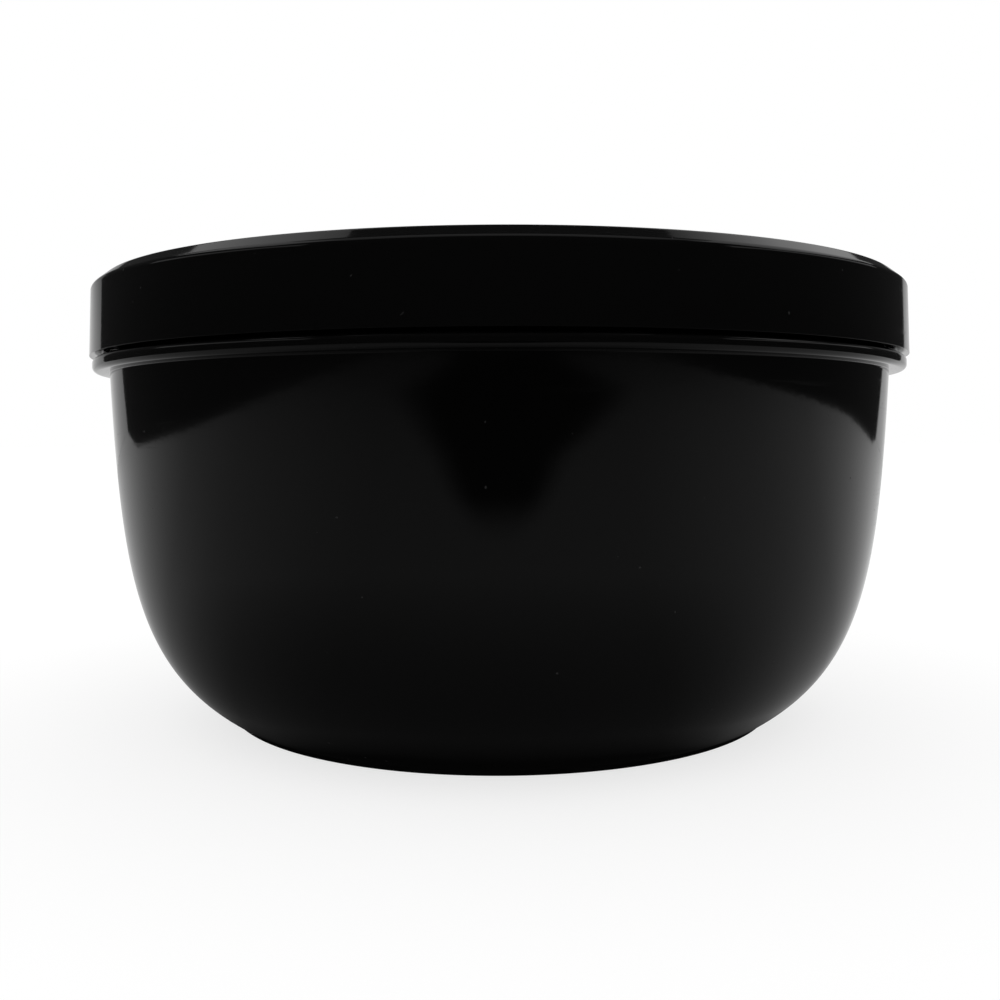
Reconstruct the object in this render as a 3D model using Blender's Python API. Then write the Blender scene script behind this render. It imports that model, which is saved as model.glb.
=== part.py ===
"""Hair colour bowl with a screw-on lid.

Four pieces: the bowl, a non-slip ring pressed into its base, the lid and the lid's seal.
Metres, +Z up. The origin is on the bowl's axis, on the surface that the bowl stands on.
The lid has a right-hand thread: it rises when it turns anticlockwise, seen from above.
"""

import math

import bmesh
import bpy
from mathutils.geometry import interpolate_bezier

MM = 0.001

# Overall size
LID_RADIUS = 65.0 * MM            # lid skirt at its lower edge
TOTAL_HEIGHT = 68.4 * MM          # table to lid top
SEGMENTS = 64                     # sides of each turned piece
GAP = 0.35 * MM                   # clearance between neighbouring pieces

# Bowl
BASE_Z = 1.25 * MM                # underside of the bowl
BASE_RADIUS = 44.4 * MM           # edge of that underside
WALL = 2.8 * MM
FLOOR_Z = BASE_Z + 2.95 * MM      # inside bottom
SHOULDER_RADIUS = 62.1 * MM       # outside of the wall, just under the flange
SHOULDER_Z = 54.25 * MM
LOWER_HANDLE = (58.6 * MM, 10.0 * MM)
UPPER_HANDLE = (60.5 * MM, 25.1 * MM)
FLANGE_RADIUS = LID_RADIUS - 0.4 * MM
FLANGE_TOP_Z = 56.35 * MM
FLANGE_LOWER_ROUND = 0.8 * MM
FLANGE_UPPER_ROUND = 0.5 * MM
NECK_RADIUS = 61.0 * MM
RIM_Z = 64.6 * MM
RIM_RADIUS = 59.4 * MM            # inside of the mouth
RIM_ROUND = 0.6 * MM

# Non-slip ring: a flat ring with a tongue that fills a groove in the bowl's base
RING_TOP_Z = BASE_Z - 0.3 * MM
RING_TOP_RADIUS = 43.9 * MM
RING_FOOT_RADIUS = 41.7 * MM
RING_INNER_RADIUS = 37.9 * MM
TONGUE_RADII = (39.3 * MM, 41.1 * MM)
TONGUE_Z = 2.2 * MM

# Lid
LID_TOP_RADIUS = LID_RADIUS - 0.22 * MM
LID_CHAMFER_RADIUS = 62.8 * MM    # edge of the flat top
LID_CHAMFER_Z = TOTAL_HEIGHT - 1.6 * MM
SKIRT_Z = FLANGE_TOP_Z + GAP
SKIRT_ROUND = 0.2 * MM            # its outer lower edge
SKIRT_LEAD_IN = 0.25 * MM         # bevel at its inner lower edge
SKIRT_BORE = 63.0 * MM
LID_CEILING_Z = TOTAL_HEIGHT - 2.0 * MM
CEILING_FILLET = 0.4 * MM
RIB_RADII = (57.4 * MM, 58.6 * MM)
RIB_Z = LID_CEILING_Z - 2.4 * MM

# Seal: a flat ring between the rim and the lid's ceiling
SEAL_RADII = (RIB_RADII[1] + GAP, SKIRT_BORE - 0.5 * MM)
SEAL_Z = (RIM_Z + GAP, LID_CEILING_Z - GAP)
SEAL_ROUND = 0.3 * MM

# Thread: four starts, so that a fifth of a turn frees the lid
STARTS = 4
LEAD = 16.0 * MM
RIDGE_ROOT_WIDTH = 1.8 * MM
RIDGE_CREST_WIDTH = 0.9 * MM
RIDGE_SINK = 0.4 * MM             # depth to which a ridge is sunk in its wall
NECK_CREST_RADIUS = 62.5 * MM
LID_CREST_RADIUS = 61.7 * MM
NECK_THREAD_Z = 58.0 * MM         # centre of a neck ridge at its lower end
NECK_RIDGE_STEPS = 18
LID_RIDGE_STEPS = 16
LID_RIDGE_OFFSET = 1.5 * MM       # a lid ridge runs this far below the neck ridge that holds it
LID_RIDGE_LATE = 6                # steps by which a lid ridge starts after its neck ridge
RUNOUT_STEPS = 2                  # steps in which a ridge's end sinks into its wall


def clear_scene():
    for scene_object in list(bpy.data.objects):
        bpy.data.objects.remove(scene_object, do_unlink=True)


def material(name, colour, roughness):
    result = bpy.data.materials.new(name)
    result.use_nodes = True
    shader = result.node_tree.nodes["Principled BSDF"]
    shader.inputs["Base Color"].default_value = (*colour, 1.0)
    shader.inputs["Roughness"].default_value = roughness
    shader.inputs["Metallic"].default_value = 0.0
    return result


def link(name, bm, surface=None):
    """Make a smooth-shaded object from a bmesh."""
    bmesh.ops.recalc_face_normals(bm, faces=bm.faces)
    mesh = bpy.data.meshes.new(name)
    bm.to_mesh(mesh)
    bm.free()
    mesh.shade_smooth()
    mesh.set_sharp_from_angle(angle=math.radians(35))
    result = bpy.data.objects.new(name, mesh)
    bpy.context.scene.collection.objects.link(result)
    if surface:
        mesh.materials.append(surface)
    return result


def arc(centre, radii, start, end, steps):
    """Points (radius, z) on an ellipse's arc; angles in degrees from outwards towards up."""
    points = []
    for step in range(steps + 1):
        angle = math.radians(start + (end - start) * step / steps)
        points.append((centre[0] + radii[0] * math.cos(angle), centre[1] + radii[1] * math.sin(angle)))
    return points


def rounded(corner, round_radius, start, end, steps):
    """A round edge whose sharp corner would be at corner."""
    middle = math.radians((start + end) / 2)
    side_r = math.copysign(round_radius, math.cos(middle))
    side_z = math.copysign(round_radius, math.sin(middle))
    centre = (corner[0] - side_r, corner[1] - side_z)
    return arc(centre, (round_radius, round_radius), start, end, steps)


def turned(name, outline, surface):
    """Spin an outline of (radius, z) points round the Z axis.

    An outline that starts and ends on the axis stays open there; any other is a closed ring.
    """
    bm = bmesh.new()
    verts = [bm.verts.new((radius, 0.0, z)) for radius, z in outline]
    edges = [bm.edges.new(pair) for pair in zip(verts, verts[1:])]
    if outline[0][0] > 0.0:
        edges.append(bm.edges.new((verts[-1], verts[0])))
    bmesh.ops.spin(
        bm, geom=verts + edges, axis=(0, 0, 1), cent=(0, 0, 0),
        steps=SEGMENTS, angle=math.tau, use_merge=True,
    )
    bmesh.ops.remove_doubles(bm, verts=bm.verts, dist=0.001 * MM)
    return link(name, bm, surface)


def thread(name, wall_radius, crest_radius, low_z, first_step, steps):
    """Helical ridges, one for each start, whose ends sink into the wall."""
    outward = math.copysign(1.0, crest_radius - wall_radius)
    root = wall_radius - outward * RIDGE_SINK
    buried = wall_radius - outward * RIDGE_SINK / 2
    bm = bmesh.new()
    for start in range(STARTS):
        previous = None
        for step in range(steps + 1):
            angle = math.tau * (start / STARTS + (first_step + step) / SEGMENTS)
            z = low_z + LEAD * step / SEGMENTS
            rise = min(1.0, step / RUNOUT_STEPS, (steps - step) / RUNOUT_STEPS)
            crest = buried + (crest_radius - buried) * rise
            section = [
                (root, z - RIDGE_ROOT_WIDTH / 2), (crest, z - RIDGE_CREST_WIDTH / 2),
                (crest, z + RIDGE_CREST_WIDTH / 2), (root, z + RIDGE_ROOT_WIDTH / 2),
            ]
            east, north = math.cos(angle), math.sin(angle)
            ring = [bm.verts.new((r * east, r * north, height)) for r, height in section]
            if previous is None:
                bm.faces.new(ring)
            else:
                for side in range(len(ring)):
                    after = (side + 1) % len(ring)
                    bm.faces.new((previous[side], previous[after], ring[after], ring[side]))
            previous = ring
        bm.faces.new(previous)
    ridges = link(name, bm)
    ridges.hide_render = True
    ridges.display_type = "WIRE"
    return ridges


def join_thread(piece, ridges):
    union = piece.modifiers.new("thread", "BOOLEAN")
    union.operation = "UNION"
    union.solver = "EXACT"
    union.object = ridges


def wall_curve(steps):
    """The bowl's outside, from its base to the flange, on one Bezier curve."""
    corners = ((BASE_RADIUS, BASE_Z), LOWER_HANDLE, UPPER_HANDLE, (SHOULDER_RADIUS, SHOULDER_Z))
    spatial = [(radius, 0.0, z) for radius, z in corners]
    return [(point.x, point.z) for point in interpolate_bezier(*spatial, steps + 1)]


def offset_inwards(curve, distance):
    """Move a rising curve towards the axis by distance, square to itself."""
    moved = []
    for index, point in enumerate(curve):
        before = curve[max(index - 1, 0)]
        after = curve[min(index + 1, len(curve) - 1)]
        run = after[0] - before[0]
        climb = after[1] - before[1]
        length = math.hypot(run, climb)
        moved.append((point[0] - distance * climb / length, point[1] + distance * run / length))
    return moved


def bowl_outline():
    groove_in = TONGUE_RADII[0] - GAP
    groove_out = TONGUE_RADII[1] + GAP
    groove_z = TONGUE_Z + GAP
    outline = [(0.0, BASE_Z), (groove_in, BASE_Z), (groove_in, groove_z)]
    outline += [(groove_out, groove_z), (groove_out, BASE_Z)]
    outline += wall_curve(10)
    outline += rounded((FLANGE_RADIUS, SHOULDER_Z), FLANGE_LOWER_ROUND, -90, 0, 3)
    outline += rounded((FLANGE_RADIUS, FLANGE_TOP_Z), FLANGE_UPPER_ROUND, 0, 90, 2)
    outline.append((NECK_RADIUS, FLANGE_TOP_Z))
    outline += rounded((NECK_RADIUS, RIM_Z), RIM_ROUND, 0, 90, 2)
    outline += rounded((RIM_RADIUS, RIM_Z), RIM_ROUND, 90, 180, 2)
    inside = offset_inwards(wall_curve(9), WALL)
    (low_r, low_z), (next_r, next_z) = inside[:2]
    floor_radius = low_r + (next_r - low_r) * (FLOOR_Z - low_z) / (next_z - low_z)
    outline += reversed(inside[1:])
    outline += [(floor_radius, FLOOR_Z), (0.0, FLOOR_Z)]
    return outline


def make_bowl(surface):
    bowl = turned("bowl", bowl_outline(), surface)
    ridges = thread(
        "neck_thread_guide", NECK_RADIUS, NECK_CREST_RADIUS, NECK_THREAD_Z, 0, NECK_RIDGE_STEPS,
    )
    join_thread(bowl, ridges)


def make_foot_ring(surface):
    side = (RING_TOP_RADIUS - RING_FOOT_RADIUS, RING_TOP_Z)
    outline = [(RING_INNER_RADIUS, 0.0)]
    outline += arc((RING_FOOT_RADIUS, RING_TOP_Z), side, -90, 0, 4)
    outline += [(TONGUE_RADII[1], RING_TOP_Z), (TONGUE_RADII[1], TONGUE_Z)]
    outline += [(TONGUE_RADII[0], TONGUE_Z), (TONGUE_RADII[0], RING_TOP_Z)]
    outline.append((RING_INNER_RADIUS, RING_TOP_Z))
    turned("foot_ring", outline, surface)


def lid_outline():
    outline = [(0.0, TOTAL_HEIGHT), (LID_CHAMFER_RADIUS, TOTAL_HEIGHT), (LID_TOP_RADIUS, LID_CHAMFER_Z)]
    outline += rounded((LID_RADIUS, SKIRT_Z), SKIRT_ROUND, 0, -90, 2)
    outline += [(SKIRT_BORE + SKIRT_LEAD_IN, SKIRT_Z), (SKIRT_BORE, SKIRT_Z + SKIRT_LEAD_IN)]
    outline += rounded((SKIRT_BORE, LID_CEILING_Z), CEILING_FILLET, 0, 90, 2)
    outline += [(RIB_RADII[1], LID_CEILING_Z), (RIB_RADII[1], RIB_Z)]
    outline += [(RIB_RADII[0], RIB_Z), (RIB_RADII[0], LID_CEILING_Z)]
    outline.append((0.0, LID_CEILING_Z))
    return outline


def make_lid(surface):
    lid = turned("lid", lid_outline(), surface)
    low_z = NECK_THREAD_Z + LEAD * LID_RIDGE_LATE / SEGMENTS - LID_RIDGE_OFFSET
    ridges = thread(
        "lid_thread_guide", SKIRT_BORE, LID_CREST_RADIUS, low_z, LID_RIDGE_LATE, LID_RIDGE_STEPS,
    )
    join_thread(lid, ridges)


def make_lid_seal(surface):
    inner, outer = SEAL_RADII
    low, high = SEAL_Z
    outline = rounded((outer, low), SEAL_ROUND, -90, 0, 2)
    outline += rounded((outer, high), SEAL_ROUND, 0, 90, 2)
    outline += [(inner, high), (inner, low)]
    turned("lid_seal", outline, surface)


def build():
    clear_scene()
    make_bowl(material("bowl_plastic", (0.010, 0.010, 0.011), 0.10))
    make_foot_ring(material("foot_rubber", (0.014, 0.014, 0.014), 0.70))
    make_lid(material("lid_plastic", (0.009, 0.009, 0.010), 0.10))
    make_lid_seal(material("seal_silicone", (0.62, 0.62, 0.60), 0.50))


build()
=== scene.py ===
import math

import bmesh
import bpy
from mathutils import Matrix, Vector
from mathutils.geometry import interpolate_bezier


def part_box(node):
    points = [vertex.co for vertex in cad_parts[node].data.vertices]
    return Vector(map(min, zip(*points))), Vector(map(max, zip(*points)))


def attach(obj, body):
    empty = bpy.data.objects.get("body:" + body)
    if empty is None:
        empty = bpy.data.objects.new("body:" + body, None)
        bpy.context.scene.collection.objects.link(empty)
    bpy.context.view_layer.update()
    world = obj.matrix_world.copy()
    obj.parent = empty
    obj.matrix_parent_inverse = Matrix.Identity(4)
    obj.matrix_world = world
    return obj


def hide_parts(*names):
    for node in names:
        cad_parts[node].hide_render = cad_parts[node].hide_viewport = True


# Looks of the hair colour bowl: finely turned shells with moulded threads, in black gloss plastic,
# matte rubber and silicone, on a plain pale floor in soft studio light. Metres, +Z up.

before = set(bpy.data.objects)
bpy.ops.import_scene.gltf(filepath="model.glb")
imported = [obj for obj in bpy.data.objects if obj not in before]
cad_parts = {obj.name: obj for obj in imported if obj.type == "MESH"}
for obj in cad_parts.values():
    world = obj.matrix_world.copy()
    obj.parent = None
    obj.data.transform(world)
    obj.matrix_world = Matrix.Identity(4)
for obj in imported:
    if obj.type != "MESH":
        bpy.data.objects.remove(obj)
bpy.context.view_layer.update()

MM = 0.001
TURNS = 256                       # sides of each turned piece
SUPPORT = 0.12 * MM               # loops this far from a rounded edge keep the flats flat
ARC_STEP = 9.0                    # degrees between points on a rounded edge
SAME_RADIUS = 0.001 * MM          # points this near a wall's radius belong to the wall
EDGE_ROUND = 0.1 * MM             # small moulded edges

# Sizes read from the frame
BOWL_LOW, BOWL_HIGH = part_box("bowl")
LID_LOW, LID_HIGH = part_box("lid")
RING_LOW, RING_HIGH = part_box("foot_ring")
SEAL_LOW, SEAL_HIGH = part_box("lid_seal")
BASE_Z = BOWL_LOW.z
RIM_Z = BOWL_HIGH.z
FLANGE_RADIUS = BOWL_HIGH.x
LID_RADIUS = LID_HIGH.x
LID_TOP_Z = LID_HIGH.z
SKIRT_Z = LID_LOW.z

# Bowl, with its outside wall as one Bezier curve from the base to the shoulder
BASE_RADIUS = 44.4 * MM
BASE_ROUND = 0.3 * MM
LOWER_HANDLE = (58.6 * MM, 10.0 * MM)
UPPER_HANDLE = (60.5 * MM, 25.1 * MM)
SHOULDER = (62.1 * MM, 54.25 * MM)
SHOULDER_ROUND = 0.08 * MM
WALL_STEPS = 72
WALL = 2.8 * MM
INSIDE_FLOOR_Z = BASE_Z + 2.95 * MM
INSIDE_FLOOR_ROUND = 1.6 * MM
INSIDE_WALL_START = INSIDE_FLOOR_Z + 0.6 * MM
FLANGE_TOP_Z = SKIRT_Z - 0.35 * MM
FLANGE_LOWER_ROUND = 0.8 * MM
FLANGE_UPPER_ROUND = 0.75 * MM
NECK_RADIUS = 61.0 * MM
NECK_ROUND = 0.3 * MM
MOUTH_RADIUS = 59.4 * MM
RIM_ROUND = 0.6 * MM

# Bowl's underside: a shallow dish with the moulding gate in its middle
GATE_RADII = (1.6 * MM, 1.9 * MM)
GATE_Z = BASE_Z + 0.35 * MM
DISH_RADII = (34.0 * MM, 36.0 * MM)
DISH_Z = BASE_Z + 0.25 * MM
DISH_ROUND = 1.0 * MM

# Foot ring
RING_TOP_Z = BASE_Z - 0.06 * MM
RING_FOOT_RADIUS = 41.7 * MM
RING_INNER_RADIUS = 37.9 * MM
RING_SIDE_HEIGHT = 0.95 * MM
RING_SIDE_STEPS = 12
RING_INNER_ROUND = 0.2 * MM
RING_TOP_ROUND = 0.04 * MM
TONGUE_RADII = (39.3 * MM, 41.1 * MM)
GROOVE_GAP = 0.35 * MM            # round the tongue, in the bowl
TREAD_RADII = (39.1 * MM, 40.4 * MM)
TREAD_HALVES = (0.25 * MM, 0.15 * MM)  # half width of a tread groove, at the floor and at its bottom
TREAD_DEPTH = 0.25 * MM
TREAD_ROUND = 0.05 * MM

# Lid
LID_TOP_RADIUS = LID_RADIUS - 0.22 * MM
CHAMFER_RADIUS = 62.8 * MM
CHAMFER_Z = LID_TOP_Z - 1.6 * MM
SKIRT_BORE = 63.0 * MM
CHAMFER_ROUND = 0.8 * MM          # both edges of the chamfer
SKIRT_ROUND = 0.03 * MM
SKIRT_LEAD_IN = 0.25 * MM
CEILING_Z = LID_TOP_Z - 2.0 * MM
CEILING_ROUND = 0.4 * MM
RIB_RADII = (57.4 * MM, 58.6 * MM)
RIB_Z = CEILING_Z - 2.4 * MM
RIB_ROUND = 0.3 * MM
RIB_INNER_ROUND = 0.5 * MM
DIMPLE_RADII = (2.4 * MM, 2.1 * MM)
DIMPLE_Z = CEILING_Z + 0.2 * MM

# Seal
SEAL_INNER_RADIUS = 58.95 * MM
SEAL_ROUND = 0.25 * MM

# Thread, as in the frame: four starts, right-handed. Each threaded wall has rows from a lowest to a
# highest height, and the thread is raised above or below a limit
STARTS = 4
LEAD = 16.0 * MM
CREST_HALF = 0.40 * MM
ROOT_HALF = 0.80 * MM
RUNOUT = math.radians(9)
NECK_CREST = 62.5 * MM
LID_CREST = 61.7 * MM
NECK_THREAD_Z = 58.0 * MM
LID_THREAD_Z = 58.0 * MM
NECK_SPAN = math.radians(101.25)
LID_SPAN = math.radians(90.0)
LID_THREAD_START = math.radians(33.75)
NECK_ROWS = (FLANGE_TOP_Z + 0.5 * MM, RIM_Z - 0.9 * MM, 80)
NECK_THREAD_ABOVE = FLANGE_TOP_Z + 0.4 * MM
LID_ROWS = (SKIRT_Z + 0.5 * MM, CEILING_Z - 0.7 * MM, 84)
LID_THREAD_BELOW = CEILING_Z - 0.6 * MM

# Camera
CAMERA_PLACE = (0.0, -0.1895, 0.0443)
CAMERA_LENS = 40.44
CAMERA_SHIFT = (0.0003, -0.0623)
CAMERA_ROLL = math.radians(0.215)
CAMERA_SENSOR = 36.0
CAMERA_NEAR = 0.005

# Floor and room that the camera sees
FLOOR_HALF_SIZE = 6.0
FLOOR_DROP = 0.05 * MM            # just clear of the tread, which ends at zero
FLOOR_TONE = 0.30
FLOOR_GLOW = 0.74

# Studio that only the gloss sees. A fade is (start, end, first, last): it turns a measure between
# start and end into a number between first and last. Outlines and distances are in metres.
TABLE_DROP = 0.5 * MM
TABLE_OUTLINE = (
    (-1.19, 1.00), (-0.71, 0.42), (-0.71, 0.05), (-0.78, -0.25), (-0.86, -0.55), (-0.90, -0.95),
    (-0.95, -1.60), (1.20, -1.60), (1.38, -0.60), (1.42, 0.20), (1.31, 0.52), (0.84, 0.72), (0.98, 1.00),
)
TABLE_LEVELS = (                  # glow from straight in front (0) to straight behind (1)
    (0.0, 0.13), (0.067, 0.135), (0.18, 0.18), (0.33, 0.22), (0.50, 0.29), (0.67, 0.46), (0.82, 0.66),
    (0.93, 0.78), (1.0, 0.82),
)
TABLE_EAST_FADE = (-1.0, 1.0, 0.87, 1.13)
TABLE_DISTANCE_FADE = (0.15, 1.0, 1.0, 0.80)
TABLE_AHEAD_FADE = (0.12, 0.90, 1.0, 0.60)
SHADOW_DISTANCE_FADE = (0.036, 0.12, 0.82, 0.0)
SHADOW_ROUND_FADE = (0.12, 0.42, 1.0, 0.0)
SHADOW_LEAN = 0.12
CONTACT_FADE = (0.0448, 0.0505, 0.12, 1.0)
CONTACT_SHIFT_FADE = (0.03, 0.16, 0.0, 0.0022)
WEDGE_NEAR_FADE = (0.13, 0.30, 0.0, 0.075)
WEDGE_FAR_FADE = (0.30, 0.65, 0.0, 0.27)
WEDGE_DRIFT_FADE = (0.30, 0.60, 0.0, 0.05)
WEDGE_MARGIN = 0.02
WEDGE_EDGE_FADE = (-0.30, 0.30, 0.0, 1.0)
WEDGE_START_FADE = (0.14, 0.22, 0.0, 1.0)
WEDGE_LEVEL = 0.06
BACKDROP_DISTANCE = 1.0
BACKDROP_OUTLINE = (              # (x, z)
    (-1.19, 0.0), (0.98, 0.0), (0.83, 0.17), (0.82, 0.28), (-1.06, 0.46), (-1.09, 0.17),
)
BACKDROP_LEFT_FADE = (-1.12, -0.32, 0.45, 0.85)
BACKDROP_RIGHT_FADE = (0.2, 0.83, 1.0, 0.72)
BACKDROP_UP_FADE = (0.12, 0.42, 1.0, 0.35)
ROOM_RADIUS = 5.0
ROOM_CLIMB_FADE = (-0.05, 0.45, 0.022, 0.036)
SOFTBOX_DISTANCE = 1.0
SOFTBOXES = (                     # name, azimuth, elevation, width, height, glow from bottom to top
    ("left_softbox", -32.5, 47.7, 0.36, 0.434, (0.50, 0.49, 0.46, 0.41, 0.28)),
    ("right_softbox", 35, 40.5, 0.46, 0.596, (0.52, 0.68, 0.69, 0.48, 0.17)),
    ("left_side_softbox", -86, 50, 0.80, 0.38, (0.60, 0.62, 0.64, 0.60, 0.50)),
    ("left_low_softbox", -104, 19.5, 0.95, 0.17, (0.36, 0.36)),
    ("right_side_softbox", 76, 43, 0.80, 0.53, (0.45, 0.72, 0.72, 0.62, 0.55)),
    ("right_low_softbox", 91, 18, 1.08, 0.14, (0.42, 0.42)),
    ("overhead_softbox", 180, 78, 1.30, 0.81, (0.26, 0.26)),
)

# Plastics' and rubber's colours, from clean to dusty or worn, and silicone's two shades
GLOSS_BLACK = (0.0006, 0.0006, 0.0006)
GLOSS_DUST = (0.010, 0.010, 0.010)
RUBBER_BLACK = (0.0008, 0.0008, 0.0008)
RUBBER_WORN = (0.0018, 0.0018, 0.0018)
SILICONE_MILKY = (0.70, 0.70, 0.70)
SILICONE_SHADE = (0.60, 0.60, 0.58)
MIX_FIRST, MIX_SECOND, MIX_RESULT = 6, 7, 2    # the Mix node's colour sockets


# ---------------------------------------------------------------- outlines and turned shells

def arc_points(before, corner, after, radius):
    """Round the corner between two straight runs; points run from the first run to the second."""
    towards = (Vector(before) - Vector(corner)).normalized()
    onwards = (Vector(after) - Vector(corner)).normalized()
    opening = towards.angle(onwards)
    setback = radius / math.tan(opening / 2)
    middle = Vector(corner) + (towards + onwards).normalized() * (radius / math.sin(opening / 2))
    first = Vector(corner) + towards * setback
    last = Vector(corner) + onwards * setback
    turn = math.pi - opening
    steps = max(2, round(math.degrees(turn) / ARC_STEP))
    spoke_in = first - middle
    spoke_out = last - middle
    points = [first + towards * SUPPORT]
    for step in range(steps + 1):
        share = turn * step / steps
        weight_in = math.sin(turn - share) / math.sin(turn)
        weight_out = math.sin(share) / math.sin(turn)
        points.append(middle + spoke_in * weight_in + spoke_out * weight_out)
    points.append(last + onwards * SUPPORT)
    return [tuple(point) for point in points]


def rounded_path(corners):
    """Turn (radius, z, rounding) corners into an outline of (radius, z) points."""
    path = [corners[0][:2]]
    for before, corner, after in zip(corners, corners[1:], corners[2:]):
        if corner[2] > 0.0:
            path += arc_points(before[:2], corner[:2], after[:2], corner[2])
        else:
            path.append(corner[:2])
    path.append(corners[-1][:2])
    return path


def rows(radius, low, high, count):
    """Plain corners at even heights on a straight wall, for the threads to be raised on."""
    return [(radius, low + (high - low) * step / count, 0.0) for step in range(count + 1)]


def turned(name, path, shift=None):
    """Turn an outline of (radius, z) points round the Z axis into a smooth mesh object.

    shift(radius, z, angle) gives a new radius, which raises threads. Points on the axis are shared.
    """
    bm = bmesh.new()
    closed = path[0][0] > 0.0
    rings = []
    for radius, z in path:
        if radius == 0.0:
            rings.append([bm.verts.new((0.0, 0.0, z))] * TURNS)
            continue
        ring = []
        for side in range(TURNS):
            angle = math.tau * side / TURNS
            r = shift(radius, z, angle) if shift else radius
            ring.append(bm.verts.new((r * math.cos(angle), r * math.sin(angle), z)))
        rings.append(ring)
    pairs = list(zip(rings, rings[1:]))
    if closed:
        pairs.append((rings[-1], rings[0]))
    for ring_a, ring_b in pairs:
        for side in range(TURNS):
            after = (side + 1) % TURNS
            loop = dict.fromkeys((ring_a[side], ring_a[after], ring_b[after], ring_b[side]))
            bm.faces.new(tuple(loop))
    bmesh.ops.recalc_face_normals(bm, faces=bm.faces)
    mesh = bpy.data.meshes.new(name)
    bm.to_mesh(mesh)
    bm.free()
    mesh.shade_smooth()
    piece = bpy.data.objects.new(name, mesh)
    bpy.context.scene.collection.objects.link(piece)
    return piece


def smooth(value):
    value = min(1.0, max(0.0, value))
    return value * value * (3.0 - 2.0 * value)


def thread_rise(z, angle, low_z, begin, span):
    """Share of full height, from 0 to 1, of the moulded thread at one point of the wall."""
    rise = 0.0
    for start in range(STARTS):
        along = (angle - begin - math.tau * start / STARTS) % math.tau
        if along > span:
            continue
        away = abs(z - low_z - LEAD * along / math.tau)
        profile = smooth((ROOT_HALF - away) / (ROOT_HALF - CREST_HALF))
        rise = max(rise, profile * smooth(along / RUNOUT) * smooth((span - along) / RUNOUT))
    return rise


# ---------------------------------------------------------------- pieces

def wall_curve():
    """Outside of the bowl from its base to its shoulder, on one Bezier curve."""
    knots = ((BASE_RADIUS, BASE_Z), LOWER_HANDLE, UPPER_HANDLE, SHOULDER)
    spatial = [(radius, 0.0, z) for radius, z in knots]
    return [(point.x, point.z) for point in interpolate_bezier(*spatial, WALL_STEPS + 1)]


def offset_inwards(curve, distance):
    """Move a rising curve towards the axis by distance, square to itself."""
    moved = []
    for index, point in enumerate(curve):
        before = curve[max(index - 1, 0)]
        after = curve[min(index + 1, len(curve) - 1)]
        run = after[0] - before[0]
        climb = after[1] - before[1]
        length = math.hypot(run, climb)
        moved.append((point[0] - distance * climb / length, point[1] + distance * run / length))
    return moved


def plain(points):
    """Corners that stay sharp."""
    return [(radius, z, 0.0) for radius, z in points]


def bowl_corners():
    """Outline from the middle of the underside, up the outside and down the inside."""
    groove_in = TONGUE_RADII[0] - GROOVE_GAP
    groove_out = TONGUE_RADII[1] + GROOVE_GAP
    groove_z = RING_HIGH.z + GROOVE_GAP
    corners = [(0.0, GATE_Z, 0.0), (GATE_RADII[0], GATE_Z, EDGE_ROUND)]
    corners += [(GATE_RADII[1], DISH_Z, EDGE_ROUND), (DISH_RADII[0], DISH_Z, DISH_ROUND)]
    corners += [(DISH_RADII[1], BASE_Z, DISH_ROUND), (groove_in, BASE_Z, EDGE_ROUND)]
    corners += [(groove_in, groove_z, EDGE_ROUND), (groove_out, groove_z, EDGE_ROUND)]
    corners += [(groove_out, BASE_Z, EDGE_ROUND), (BASE_RADIUS, BASE_Z, BASE_ROUND)]
    corners += plain(wall_curve()[1:-1])
    corners.append((*SHOULDER, SHOULDER_ROUND))
    corners.append((FLANGE_RADIUS, SHOULDER[1], FLANGE_LOWER_ROUND))
    corners.append((FLANGE_RADIUS, FLANGE_TOP_Z, FLANGE_UPPER_ROUND))
    corners.append((NECK_RADIUS, FLANGE_TOP_Z, NECK_ROUND))
    corners += rows(NECK_RADIUS, *NECK_ROWS)
    corners += [(NECK_RADIUS, RIM_Z, RIM_ROUND), (MOUTH_RADIUS, RIM_Z, RIM_ROUND)]
    inside = offset_inwards(wall_curve(), WALL)
    inside = [point for point in inside if point[1] > INSIDE_WALL_START]
    corners += plain(reversed(inside))
    (low_r, low_z), (next_r, next_z) = inside[:2]
    floor_radius = low_r + (next_r - low_r) * (INSIDE_FLOOR_Z - low_z) / (next_z - low_z)
    corners += [(floor_radius, INSIDE_FLOOR_Z, INSIDE_FLOOR_ROUND), (0.0, INSIDE_FLOOR_Z, 0.0)]
    return corners


def bowl_shift(radius, z, angle):
    """Raise the thread on the outside of the neck."""
    if abs(radius - NECK_RADIUS) > SAME_RADIUS or z < NECK_THREAD_ABOVE:
        return radius
    rise = thread_rise(z, angle, NECK_THREAD_Z, 0.0, NECK_SPAN)
    return radius + (NECK_CREST - NECK_RADIUS) * rise


def make_bowl():
    return turned("bowl_shell", rounded_path(bowl_corners()), bowl_shift)


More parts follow.
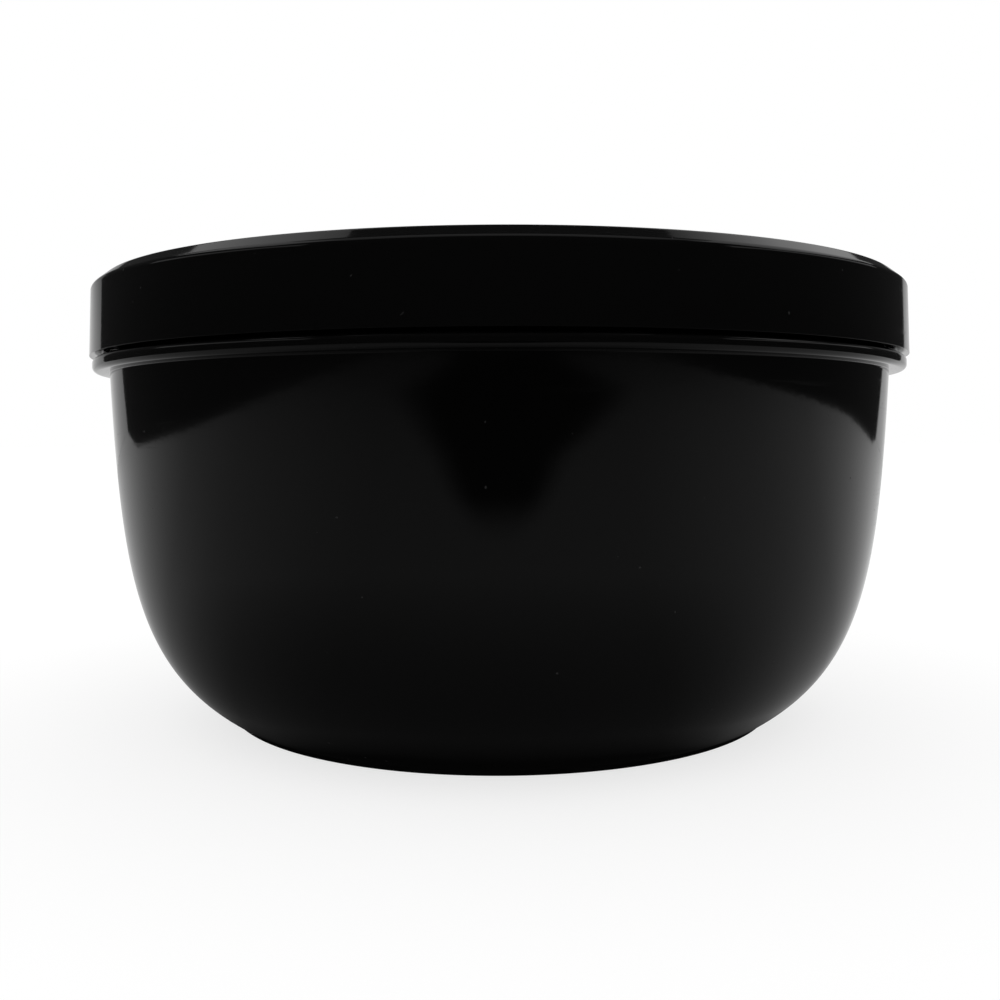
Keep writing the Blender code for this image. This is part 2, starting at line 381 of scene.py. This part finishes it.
def lid_corners():
    """Outline from the middle of the top, down the outside and up the inside."""
    corners = [(0.0, LID_TOP_Z, 0.0), (CHAMFER_RADIUS, LID_TOP_Z, CHAMFER_ROUND)]
    corners += [(LID_TOP_RADIUS, CHAMFER_Z, CHAMFER_ROUND), (LID_RADIUS, SKIRT_Z, SKIRT_ROUND)]
    corners.append((SKIRT_BORE + SKIRT_LEAD_IN, SKIRT_Z, EDGE_ROUND))
    corners.append((SKIRT_BORE, SKIRT_Z + SKIRT_LEAD_IN, EDGE_ROUND))
    corners += rows(SKIRT_BORE, *LID_ROWS)
    corners += [(SKIRT_BORE, CEILING_Z, CEILING_ROUND), (RIB_RADII[1], CEILING_Z, RIB_ROUND)]
    corners += [(RIB_RADII[1], RIB_Z, RIB_ROUND), (RIB_RADII[0], RIB_Z, RIB_ROUND)]
    corners += [(RIB_RADII[0], CEILING_Z, RIB_INNER_ROUND), (DIMPLE_RADII[0], CEILING_Z, EDGE_ROUND)]
    corners += [(DIMPLE_RADII[1], DIMPLE_Z, EDGE_ROUND), (0.0, DIMPLE_Z, 0.0)]
    return corners


def lid_shift(radius, z, angle):
    """Raise the thread on the inside of the skirt."""
    if abs(radius - SKIRT_BORE) > SAME_RADIUS or z > LID_THREAD_BELOW:
        return radius
    rise = thread_rise(z, angle, LID_THREAD_Z, LID_THREAD_START, LID_SPAN)
    return radius - (SKIRT_BORE - LID_CREST) * rise


def make_lid():
    return turned("lid_shell", rounded_path(lid_corners()), lid_shift)


def closed_path(corners):
    """Rounded outline of a ring that closes on itself."""
    wrapped = [corners[-1], *corners, corners[0]]
    return rounded_path(wrapped)[1:-1]


def make_foot_ring():
    """Ring with two tread grooves, a side that is a quarter of an ellipse, and a tongue on top."""
    side_width = RING_HIGH.x - RING_FOOT_RADIUS
    low_half, deep_half = TREAD_HALVES
    corners = [(RING_INNER_RADIUS, 0.0, RING_INNER_ROUND)]
    for middle in TREAD_RADII:
        corners += [(middle - low_half, 0.0, TREAD_ROUND), (middle - deep_half, TREAD_DEPTH, TREAD_ROUND)]
        corners += [(middle + deep_half, TREAD_DEPTH, TREAD_ROUND), (middle + low_half, 0.0, TREAD_ROUND)]
    for step in range(RING_SIDE_STEPS + 1):
        angle = math.radians(90 * step / RING_SIDE_STEPS)
        radius = RING_FOOT_RADIUS + side_width * math.sin(angle)
        corners.append((radius, RING_SIDE_HEIGHT * (1 - math.cos(angle)), 0.0))
    corners += [(RING_HIGH.x, RING_TOP_Z, RING_TOP_ROUND), (TONGUE_RADII[1], RING_TOP_Z, 0.0)]
    corners += [(TONGUE_RADII[1], RING_HIGH.z, EDGE_ROUND), (TONGUE_RADII[0], RING_HIGH.z, EDGE_ROUND)]
    corners += [(TONGUE_RADII[0], RING_TOP_Z, 0.0), (RING_INNER_RADIUS, RING_TOP_Z, RING_TOP_ROUND)]
    return turned("foot_ring_rubber", closed_path(corners))


def make_seal():
    inner = SEAL_INNER_RADIUS
    outer = SEAL_HIGH.x
    corners = [(inner, SEAL_LOW.z), (outer, SEAL_LOW.z), (outer, SEAL_HIGH.z), (inner, SEAL_HIGH.z)]
    return turned("lid_seal_ring", closed_path([(radius, z, SEAL_ROUND) for radius, z in corners]))


# ---------------------------------------------------------------- materials

class Nodes:
    """Short calls for building a material's node tree."""

    def __init__(self, name):
        self.material = bpy.data.materials.new(name)
        self.material.use_nodes = True
        self.tree = self.material.node_tree
        self.shader = self.tree.nodes["Principled BSDF"]
        self.place = self.add("ShaderNodeTexCoord").outputs["Object"]

    def add(self, kind, **settings):
        node = self.tree.nodes.new(kind)
        for key, value in settings.items():
            setattr(node, key, value)
        return node

    def join(self, source, target):
        self.tree.links.new(source, target)

    def noise(self, scale, detail=2.0, roughness=0.5, stretch=None):
        node = self.add("ShaderNodeTexNoise")
        node.inputs["Scale"].default_value = scale
        node.inputs["Detail"].default_value = detail
        node.inputs["Roughness"].default_value = roughness
        place = self.place
        if stretch:
            mapping = self.add("ShaderNodeMapping")
            mapping.inputs["Scale"].default_value = stretch
            self.join(self.place, mapping.inputs["Vector"])
            place = mapping.outputs["Vector"]
        self.join(place, node.inputs["Vector"])
        return node.outputs["Fac"]

    def split(self, vector):
        node = self.add("ShaderNodeSeparateXYZ")
        self.join(vector, node.inputs["Vector"])
        return tuple(node.outputs)

    def vector(self, operation, source):
        """Length or direction of a vector."""
        node = self.add("ShaderNodeVectorMath", operation=operation)
        self.join(source, node.inputs[0])
        return node.outputs["Value" if operation == "LENGTH" else "Vector"]

    def remap(self, source, low, high, to_low, to_high, soft=False):
        node = self.add("ShaderNodeMapRange", interpolation_type="SMOOTHSTEP" if soft else "LINEAR")
        self.join(source, node.inputs["Value"])
        for key, value in (("From Min", low), ("From Max", high), ("To Min", to_low), ("To Max", to_high)):
            node.inputs[key].default_value = value
        return node.outputs["Result"]

    def ramp(self, source, stops):
        """Number that follows (position, level) stops between 0 and 1."""
        node = self.add("ShaderNodeValToRGB")
        self.join(source, node.inputs["Fac"])
        points = node.color_ramp.elements
        while len(points) < len(stops):
            points.new(1.0)
        for point, (position, level) in zip(points, stops):
            point.position = position
            point.color = (level, level, level, 1.0)
        return node.outputs["Color"]

    def math(self, operation, first, second=0.0):
        node = self.add("ShaderNodeMath", operation=operation)
        for socket, value in zip(node.inputs, (first, second)):
            if isinstance(value, (int, float)):
                socket.default_value = value
            else:
                self.join(value, socket)
        return node.outputs["Value"]

    def mix_colour(self, factor, first, second):
        node = self.add("ShaderNodeMix", data_type="RGBA")
        self.join(factor, node.inputs["Factor"])
        node.inputs[MIX_FIRST].default_value = (*first, 1.0)
        node.inputs[MIX_SECOND].default_value = (*second, 1.0)
        return node.outputs[MIX_RESULT]

    def bump(self, height, distance, strength=1.0, after=None):
        node = self.add("ShaderNodeBump")
        node.inputs["Distance"].default_value = distance
        node.inputs["Strength"].default_value = strength
        self.join(height, node.inputs["Height"])
        if after:
            self.join(after, node.inputs["Normal"])
        return node.outputs["Normal"]

    def set(self, **values):
        for key, value in values.items():
            self.shader.inputs[key.replace("_", " ")].default_value = value


def gloss_plastic(name, colour, dust_colour, seed):
    """Polished moulded plastic: slow waves, fine peel, faint haze, hairlines and specks of dust."""
    n = Nodes(name)
    waves = n.noise(14.0 + seed, detail=1.0)
    peel = n.noise(900.0, detail=1.0)
    haze = n.noise(30.0 + seed, detail=3.0)
    hairs = n.noise(60.0, detail=2.0, stretch=(1.0, 1.0, 22.0))
    grains = n.noise(1500.0 + 40.0 * seed, detail=0.0)
    speck = n.remap(grains, 0.875, 0.91, 0.0, 1.0)
    polish = n.remap(haze, 0.3, 0.7, 0.045, 0.085)
    marks = n.remap(hairs, 0.62, 0.70, 0.0, 0.05)
    rough = n.math("ADD", polish, marks)
    n.join(n.math("ADD", rough, n.math("MULTIPLY", speck, 0.4)), n.shader.inputs["Roughness"])
    n.join(n.mix_colour(speck, colour, dust_colour), n.shader.inputs["Base Color"])
    slow = n.bump(waves, 0.25 * MM)
    n.join(n.bump(peel, 0.002 * MM, after=slow), n.shader.inputs["Normal"])
    n.set(Metallic=0.0, IOR=1.5)
    return n.material


def rubber(name, colour, worn):
    """Soft matte rubber with a fine grain, a little paler in rubbed patches."""
    n = Nodes(name)
    grain = n.noise(2600.0, detail=3.0)
    patches = n.noise(120.0, detail=3.0)
    rubbed = n.remap(patches, 0.45, 0.8, 0.0, 1.0)
    n.join(n.remap(patches, 0.3, 0.7, 0.62, 0.80), n.shader.inputs["Roughness"])
    n.join(n.mix_colour(rubbed, colour, worn), n.shader.inputs["Base Color"])
    n.join(n.bump(grain, 0.03 * MM, 0.8), n.shader.inputs["Normal"])
    n.set(Metallic=0.0, IOR=1.45, Specular_IOR_Level=0.12)
    return n.material


def silicone(name, colour, shade):
    """Milky silicone: soft, faintly mottled, slightly translucent."""
    n = Nodes(name)
    clouds = n.noise(160.0, detail=3.0)
    grain = n.noise(2200.0, detail=2.0)
    n.join(n.remap(clouds, 0.3, 0.7, 0.38, 0.52), n.shader.inputs["Roughness"])
    n.join(n.mix_colour(clouds, colour, shade), n.shader.inputs["Base Color"])
    n.join(n.bump(grain, 0.01 * MM), n.shader.inputs["Normal"])
    n.set(Metallic=0.0, IOR=1.41, Subsurface_Weight=0.25, Subsurface_Scale=0.0015)
    return n.material


# ---------------------------------------------------------------- stage
#
# The camera sees a white room and a pale floor. The gloss sees a studio instead: a white backdrop
# and the table in front of it, softboxes, and a dim room.

def glow(name, strength):
    """Start a material that only glows. Its strength is one number or comes from the nodes given."""
    n = Nodes(name)
    n.set(Base_Color=(0.0, 0.0, 0.0, 1.0), Specular_IOR_Level=0.0, Roughness=1.0)
    n.set(Emission_Color=(1.0, 1.0, 1.0, 1.0), Emission_Strength=strength)
    n.material.cycles.emission_sampling = "NONE"
    return n


def stage_piece(name, bm, material, seen=False, mirrored=True, lights=False):
    """Turn a bmesh into a piece of the stage that the camera, the gloss or diffuse light may see."""
    mesh = bpy.data.meshes.new(name)
    bm.to_mesh(mesh)
    bm.free()
    mesh.materials.append(material)
    piece = bpy.data.objects.new(name, mesh)
    bpy.context.scene.collection.objects.link(piece)
    piece.visible_camera = seen
    piece.visible_glossy = mirrored
    piece.visible_diffuse = lights
    piece.visible_transmission = lights
    piece.visible_shadow = False
    return piece


def make_floor():
    """The pale floor that the camera sees. It takes the soft shadow of the bowl."""
    n = Nodes("floor_paint")
    n.set(Base_Color=(FLOOR_TONE, FLOOR_TONE, FLOOR_TONE, 1.0), Roughness=0.9, Specular_IOR_Level=0.0)
    n.set(Emission_Color=(1.0, 1.0, 1.0, 1.0), Emission_Strength=FLOOR_GLOW)
    bm = bmesh.new()
    bmesh.ops.create_grid(bm, x_segments=1, y_segments=1, size=FLOOR_HALF_SIZE)
    floor = stage_piece("floor", bm, n.material, seen=True, mirrored=False, lights=True)
    floor.location.z = -FLOOR_DROP


def make_mirrored_table():
    """What the gloss sees below it: a white table, bright behind the bowl and dim in front."""
    n = glow("table_glow", 0.0)
    east, north, _ = n.split(n.place)
    distance = n.vector("LENGTH", n.place)
    ahead = n.math("MULTIPLY", north, -1.0)
    heading_east, heading_north, _ = n.split(n.vector("NORMALIZE", n.place))
    rear = n.remap(heading_north, -1.0, 1.0, 0.0, 1.0)
    level = n.ramp(rear, TABLE_LEVELS)
    level = n.math("MULTIPLY", level, n.remap(heading_east, *TABLE_EAST_FADE))
    level = n.math("MULTIPLY", level, n.remap(distance, *TABLE_DISTANCE_FADE))
    level = n.math("MULTIPLY", level, n.remap(ahead, *TABLE_AHEAD_FADE))
    # The bowl's own soft shadow, darkest under it, which falls forwards and to the left
    away_from_light = n.math("ADD", rear, n.math("MULTIPLY", heading_east, SHADOW_LEAN))
    shadow = n.math("MULTIPLY", n.remap(distance, *SHADOW_DISTANCE_FADE),
                    n.remap(away_from_light, *SHADOW_ROUND_FADE))
    level = n.math("MULTIPLY", level, n.math("SUBTRACT", 1.0, shadow))
    # Almost no light reaches the table close round the foot, least of all in front
    near_foot = n.math("ADD", distance, n.remap(rear, *CONTACT_SHIFT_FADE))
    level = n.math("MULTIPLY", level, n.remap(near_foot, *CONTACT_FADE))
    # A dim wedge in front, where the camera stands between the table and the light
    half_width = n.math("ADD", n.remap(ahead, *WEDGE_NEAR_FADE), n.remap(ahead, *WEDGE_FAR_FADE))
    off_centre = n.math("ABSOLUTE", n.math("SUBTRACT", east, n.remap(ahead, *WEDGE_DRIFT_FADE)))
    inside = n.math("SUBTRACT", half_width, off_centre)
    depth = n.math("DIVIDE", inside, n.math("ADD", half_width, WEDGE_MARGIN))
    wedge = n.math("MULTIPLY", n.remap(depth, *WEDGE_EDGE_FADE, soft=True),
                   n.remap(ahead, *WEDGE_START_FADE, soft=True))
    level = n.math("MULTIPLY", level, n.remap(wedge, 0.0, 1.0, 1.0, WEDGE_LEVEL))
    n.join(level, n.shader.inputs["Emission Strength"])
    bm = bmesh.new()
    bm.faces.new([bm.verts.new((x, y, 0.0)) for x, y in TABLE_OUTLINE])
    table = stage_piece("table_mirrored", bm, n.material)
    table.location.z = -TABLE_DROP


def make_dark_room():
    """A dim dome round everything: the unlit part of the studio, darkest low down."""
    n = glow("room_glow", 0.0)
    climb = n.split(n.vector("NORMALIZE", n.place))[2]
    n.join(n.remap(climb, *ROOM_CLIMB_FADE, soft=True), n.shader.inputs["Emission Strength"])
    bm = bmesh.new()
    bmesh.ops.create_uvsphere(bm, u_segments=48, v_segments=24, radius=ROOM_RADIUS)
    stage_piece("room", bm, n.material)


def make_backdrop():
    """A white sheet behind the table, brightest low down and near its middle."""
    n = glow("backdrop_glow", 0.0)
    east, _, up = n.split(n.place)
    level = n.remap(east, *BACKDROP_LEFT_FADE, soft=True)
    level = n.math("MULTIPLY", level, n.remap(east, *BACKDROP_RIGHT_FADE, soft=True))
    level = n.math("MULTIPLY", level, n.remap(up, *BACKDROP_UP_FADE, soft=True))
    n.join(level, n.shader.inputs["Emission Strength"])
    bm = bmesh.new()
    bm.faces.new([bm.verts.new((x, BACKDROP_DISTANCE, z)) for x, z in BACKDROP_OUTLINE])
    stage_piece("backdrop", bm, n.material)


def make_softbox(name, azimuth, elevation, width, height, levels):
    """A glowing card, SOFTBOX_DISTANCE away, that faces the bowl. Its glow changes up its height.

    Azimuth is measured from straight behind the bowl, positive to the right.
    """
    n = glow(name + "_glow", 0.0)
    climb = n.remap(n.split(n.place)[1], -0.5, 0.5, 0.0, 1.0)
    stops = [(step / (len(levels) - 1), level) for step, level in enumerate(levels)]
    n.join(n.ramp(climb, stops), n.shader.inputs["Emission Strength"])
    bm = bmesh.new()
    bmesh.ops.create_grid(bm, x_segments=1, y_segments=1, size=0.5)
    card = stage_piece(name, bm, n.material)
    turn = math.radians(azimuth)
    rise = math.radians(elevation)
    away = Vector((math.sin(turn) * math.cos(rise), math.cos(turn) * math.cos(rise), math.sin(rise)))
    card.location = away * SOFTBOX_DISTANCE + Vector((0.0, 0.0, LID_TOP_Z))
    card.rotation_euler = away.to_track_quat("Z", "Y").to_euler()
    card.scale = (width, height, 1.0)


def make_world():
    """White all round: the camera's background and the light on matte surfaces, unseen by gloss."""
    world = bpy.data.worlds.new("studio")
    bpy.context.scene.world = world
    world.use_nodes = True
    background = world.node_tree.nodes["Background"]
    background.inputs["Color"].default_value = (1.0, 1.0, 1.0, 1.0)
    background.inputs["Strength"].default_value = 1.0
    world.cycles_visibility.glossy = False


def make_camera():
    """A level camera just below the lid's height, close in front of the bowl."""
    data = bpy.data.cameras.new("camera")
    data.sensor_width = CAMERA_SENSOR
    data.lens = CAMERA_LENS
    data.shift_x, data.shift_y = CAMERA_SHIFT
    data.clip_start = CAMERA_NEAR
    camera = bpy.data.objects.new("camera", data)
    camera.location = CAMERA_PLACE
    camera.rotation_mode = "XYZ"
    camera.rotation_euler = (math.radians(90), CAMERA_ROLL, 0.0)
    bpy.context.scene.collection.objects.link(camera)
    bpy.context.scene.camera = camera


def place_piece(piece, body, node, surface):
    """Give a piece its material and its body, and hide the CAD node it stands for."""
    piece.data.materials.append(surface)
    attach(piece, body)
    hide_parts(node)


bpy.context.scene.view_settings.view_transform = "Standard"
make_camera()
make_world()
make_floor()
make_mirrored_table()
make_dark_room()
make_backdrop()
for softbox in SOFTBOXES:
    make_softbox(*softbox)

bowl_plastic = gloss_plastic("bowl_gloss", GLOSS_BLACK, GLOSS_DUST, 0)
lid_plastic = gloss_plastic("lid_gloss", GLOSS_BLACK, GLOSS_DUST, 1)
foot_rubber = rubber("foot_rubber", RUBBER_BLACK, RUBBER_WORN)
seal_silicone = silicone("seal_silicone", SILICONE_MILKY, SILICONE_SHADE)
place_piece(make_bowl(), "bowl", "bowl", bowl_plastic)
place_piece(make_foot_ring(), "bowl", "foot_ring", foot_rubber)
place_piece(make_lid(), "lid", "lid", lid_plastic)
place_piece(make_seal(), "seal", "lid_seal", seal_silicone)
